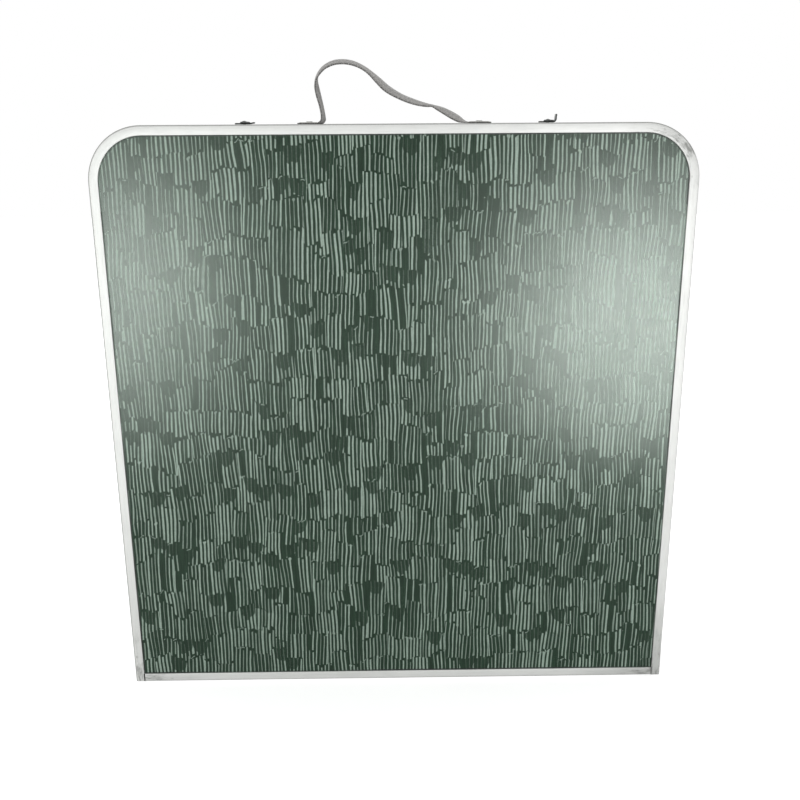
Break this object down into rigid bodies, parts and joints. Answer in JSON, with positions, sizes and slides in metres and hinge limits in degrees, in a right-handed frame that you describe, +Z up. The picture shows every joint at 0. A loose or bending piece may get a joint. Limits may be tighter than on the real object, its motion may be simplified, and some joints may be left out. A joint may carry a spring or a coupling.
{
  "type": "folding card table",
  "caption": "Folding card table: two shallow tray leaves on a link hinge, legs folded inside, swivel latches and a webbing strap on the top rail.",
  "frame": {"origin": "middle of the base of the folded table, at the height of what it stands on", "axes": "+Z up, +X along the fold line, +Y from the front leaf to the rear leaf"},
  "size_m": [0.602, 0.0604, 0.6717],
  "materials": {
    "edging": "satin, handled",
    "laminate": "satin with a pale upright hatch",
    "hardboard": "raw hardboard",
    "batten_wood": "planed softwood",
    "zinc_steel": "zinc plated",
    "rivet_aluminium": "bright",
    "leg_tube": "satin drawn tube",
    "grey_plastic": "moulded",
    "foot_rubber": "moulded",
    "dark_steel": "blackened",
    "webbing": "woven webbing"
  },
  "bodies": {
    "links": {"fold_links": "zinc_steel"},
    "front_leaf": {"front_edge_frame": "edging", "front_fold_rail": "edging", "front_board": "hardboard", "front_laminate": "laminate", "front_batten": "batten_wood", "front_corner_gussets": "zinc_steel", "front_gusset_rivets": "rivet_aluminium", "front_link_pins": "zinc_steel", "front_leg_brackets": "zinc_steel", "front_bracket_rivets": "rivet_aluminium", "front_leg_pins": "zinc_steel", "front_leg_rests": "grey_plastic", "latch_rivets": "dark_steel", "strap": "webbing", "strap_plates": "zinc_steel", "strap_rivets": "zinc_steel"},
    "rear_leaf": {"rear_edge_frame": "edging", "rear_fold_rail": "edging", "rear_board": "hardboard", "rear_laminate": "laminate", "rear_batten": "batten_wood", "rear_corner_gussets": "zinc_steel", "rear_gusset_rivets": "rivet_aluminium", "rear_link_pins": "zinc_steel", "rear_leg_brackets": "zinc_steel", "rear_bracket_rivets": "rivet_aluminium", "rear_leg_pins": "zinc_steel", "rear_leg_rests": "grey_plastic", "latch_studs": "dark_steel"},
    "front_left_leg": {"front_left_leg_tube": "leg_tube", "front_left_leg_collar": "grey_plastic"},
    "front_left_leg_extension": {"front_left_leg_extension": "leg_tube", "front_left_leg_foot": "foot_rubber"},
    "front_right_leg": {"front_right_leg_tube": "leg_tube", "front_right_leg_collar": "grey_plastic"},
    "front_right_leg_extension": {"front_right_leg_extension": "leg_tube", "front_right_leg_foot": "foot_rubber"},
    "rear_right_leg": {"rear_right_leg_tube": "leg_tube", "rear_right_leg_collar": "grey_plastic"},
    "rear_right_leg_extension": {"rear_right_leg_extension": "leg_tube", "rear_right_leg_foot": "foot_rubber"},
    "rear_left_leg": {"rear_left_leg_tube": "leg_tube", "rear_left_leg_collar": "grey_plastic"},
    "rear_left_leg_extension": {"rear_left_leg_extension": "leg_tube", "rear_left_leg_foot": "foot_rubber"},
    "left_latch": {"left_latch_hook": "dark_steel"},
    "right_latch": {"right_latch_hook": "dark_steel"}
  },
  "joints": [
    {"name": "front_fold", "type": "hinge", "parent": "links", "child": "front_leaf", "pos_m": [0, -0.0152, 0.015], "axis": [1, 0, 0], "range_deg": [0, 90]},
    {"name": "rear_fold", "type": "hinge", "parent": "links", "child": "rear_leaf", "pos_m": [0, 0.0152, 0.015], "axis": [-1, 0, 0], "range_deg": [0, 90]},
    {"name": "front_left_leg_turn", "type": "hinge", "parent": "front_leaf", "child": "front_left_leg", "pos_m": [-0.262, -0.0122, 0.575], "axis": [0, 0, 1], "range_deg": [0, 90]},
    {"name": "front_left_leg_slide", "type": "slide", "parent": "front_left_leg", "child": "front_left_leg_extension", "axis": [1, 0, 0], "range_m": [0, 0.17]},
    {"name": "front_right_leg_turn", "type": "hinge", "parent": "front_leaf", "child": "front_right_leg", "pos_m": [0.262, -0.0122, 0.545], "axis": [0, 0, -1], "range_deg": [0, 90]},
    {"name": "front_right_leg_slide", "type": "slide", "parent": "front_right_leg", "child": "front_right_leg_extension", "axis": [-1, 0, 0], "range_m": [0, 0.17]},
    {"name": "rear_right_leg_turn", "type": "hinge", "parent": "rear_leaf", "child": "rear_right_leg", "pos_m": [0.262, 0.0122, 0.575], "axis": [0, 0, 1], "range_deg": [0, 90]},
    {"name": "rear_right_leg_slide", "type": "slide", "parent": "rear_right_leg", "child": "rear_right_leg_extension", "axis": [-1, 0, 0], "range_m": [0, 0.17]},
    {"name": "rear_left_leg_turn", "type": "hinge", "parent": "rear_leaf", "child": "rear_left_leg", "pos_m": [-0.262, 0.0122, 0.545], "axis": [0, 0, -1], "range_deg": [0, 90]},
    {"name": "rear_left_leg_slide", "type": "slide", "parent": "rear_left_leg", "child": "rear_left_leg_extension", "axis": [1, 0, 0], "range_m": [0, 0.17]},
    {"name": "left_latch_turn", "type": "hinge", "parent": "front_leaf", "child": "left_latch", "pos_m": [-0.1485, -0.0036, 0.61], "axis": [0, 0, -1], "range_deg": [0, 90]},
    {"name": "right_latch_turn", "type": "hinge", "parent": "front_leaf", "child": "right_latch", "pos_m": [0.1525, -0.0036, 0.61], "axis": [0, 0, -1], "range_deg": [0, 90]}
  ],
  "couplings": [
    {"joint": "front_left_leg_turn", "follows": "front_fold", "ratio": 1},
    {"joint": "front_left_leg_slide", "follows": "front_fold", "m_per_rad": 0.108},
    {"joint": "front_right_leg_turn", "follows": "front_fold", "ratio": 1},
    {"joint": "front_right_leg_slide", "follows": "front_fold", "m_per_rad": 0.108},
    {"joint": "rear_right_leg_turn", "follows": "rear_fold", "ratio": 1},
    {"joint": "rear_right_leg_slide", "follows": "rear_fold", "m_per_rad": 0.108},
    {"joint": "rear_left_leg_turn", "follows": "rear_fold", "ratio": 1},
    {"joint": "rear_left_leg_slide", "follows": "rear_fold", "m_per_rad": 0.108}
  ]
}
